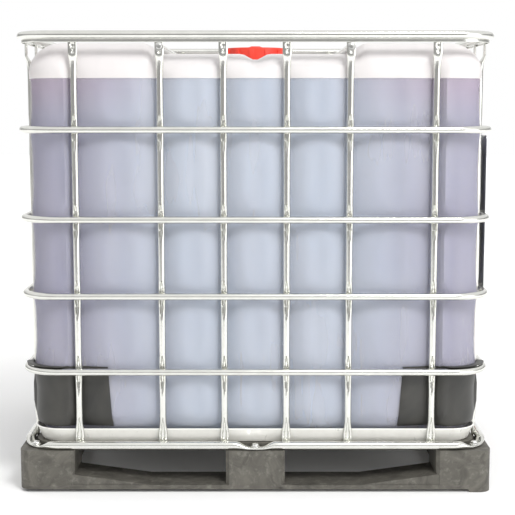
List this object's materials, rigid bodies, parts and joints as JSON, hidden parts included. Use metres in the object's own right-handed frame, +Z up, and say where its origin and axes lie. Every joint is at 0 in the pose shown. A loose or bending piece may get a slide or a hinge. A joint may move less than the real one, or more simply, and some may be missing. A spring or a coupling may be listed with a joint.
{
  "type": "intermediate bulk container",
  "caption": "Intermediate bulk container: translucent bottle in a welded tube cage on a plastic pallet, with a screw fill cap on top and a lever outlet valve at the bottom.",
  "frame": {"origin": "middle of the base, on the ground under the pallet feet", "axes": "+X along the long side towards the outlet valve, -Y the plain long side with the drain channel, +Z up"},
  "size_m": [1.2, 1, 1.16],
  "materials": {
    "galvanised_steel": "galvanised, satin",
    "bolt_steel": "zinc plated",
    "tray_steel": "bright galvanised sheet",
    "bottle_plastic": "translucent natural polyethylene",
    "red_plastic": "semi-gloss",
    "black_plastic": "fine moulded",
    "valve_plastic": "natural polypropylene",
    "seal_rubber": "soft",
    "guard_plastic": "thin sheet, satin",
    "pallet_plastic": "recycled, flow-marked",
    "plate_metal": "plain, satin"
  },
  "bodies": {
    "container": {"base_tray": "tray_steel", "bottle": "bottle_plastic", "cage_base_ring": "galvanised_steel", "cage_bolts": "bolt_steel", "cage_ring_1": "galvanised_steel", "cage_ring_2": "galvanised_steel", "cage_ring_3": "galvanised_steel", "cage_ring_4": "galvanised_steel", "cage_top_frame": "galvanised_steel", "corner_guard_back_left": "guard_plastic", "corner_guard_back_right": "guard_plastic", "corner_guard_front_left": "guard_plastic", "corner_guard_front_right": "guard_plastic", "crossbar_bolts": "bolt_steel", "crossbar_left": "galvanised_steel", "crossbar_right": "galvanised_steel", "label_plate": "plate_metal", "label_plate_clips": "galvanised_steel", "outlet_gasket": "seal_rubber", "pallet_base": "pallet_plastic", "pallet_deck": "pallet_plastic", "pallet_screws": "bolt_steel", "upright_back_1": "galvanised_steel", "upright_back_2": "galvanised_steel", "upright_back_3": "galvanised_steel", "upright_back_4": "galvanised_steel", "upright_back_5": "galvanised_steel", "upright_back_6": "galvanised_steel", "upright_front_1": "galvanised_steel", "upright_front_2": "galvanised_steel", "upright_front_3": "galvanised_steel", "upright_front_4": "galvanised_steel", "upright_front_5": "galvanised_steel", "upright_front_6": "galvanised_steel", "upright_left_1": "galvanised_steel", "upright_left_2": "galvanised_steel", "upright_left_3": "galvanised_steel", "upright_left_4": "galvanised_steel", "upright_left_5": "galvanised_steel", "upright_left_6": "galvanised_steel", "upright_right_1": "galvanised_steel", "upright_right_2": "galvanised_steel", "upright_right_3": "galvanised_steel", "upright_right_4": "galvanised_steel", "upright_right_5": "galvanised_steel", "upright_right_6": "galvanised_steel", "valve_body": "valve_plastic", "valve_seat": "seal_rubber", "valve_union_nut": "black_plastic"},
    "fill_cap_gasket": {"fill_cap_gasket": "seal_rubber"},
    "fill_cap": {"fill_cap": "red_plastic"},
    "vent_plug_seal": {"vent_plug_seal": "seal_rubber"},
    "vent_plug": {"vent_plug": "black_plastic"},
    "valve_lever": {"valve_lever": "black_plastic", "valve_lever_screw": "bolt_steel", "valve_stem": "bolt_steel", "valve_disc": "valve_plastic"},
    "outlet_cap_seal": {"outlet_cap_seal": "seal_rubber"},
    "outlet_cap": {"outlet_cap": "red_plastic"}
  },
  "joints": [
    {"name": "fill_cap_lift", "type": "slide", "parent": "container", "child": "fill_cap_gasket", "axis": [0, 0, 1], "range_m": [0, 0.25]},
    {"name": "fill_cap_turn", "type": "hinge", "parent": "fill_cap_gasket", "child": "fill_cap", "pos_m": [0, 0, 1.131], "axis": [0, 0, 1], "range_deg": [0, 450]},
    {"name": "vent_plug_lift", "type": "slide", "parent": "fill_cap", "child": "vent_plug_seal", "axis": [0, 0, 1], "range_m": [0, 0.06]},
    {"name": "vent_plug_turn", "type": "hinge", "parent": "vent_plug_seal", "child": "vent_plug", "pos_m": [0, 0, 1.14], "axis": [0, 0, 1], "range_deg": [0, 720]},
    {"name": "valve_lever_turn", "type": "hinge", "parent": "container", "child": "valve_lever", "pos_m": [0.51, 0, 0.249], "axis": [0, 0, 1], "range_deg": [0, 90]},
    {"name": "outlet_cap_pull", "type": "slide", "parent": "container", "child": "outlet_cap_seal", "axis": [1, 0, 0], "range_m": [0, 0.2]},
    {"name": "outlet_cap_turn", "type": "hinge", "parent": "outlet_cap_seal", "child": "outlet_cap", "pos_m": [0.58, 0, 0.19], "axis": [1, 0, 0], "range_deg": [0, 540]}
  ]
}
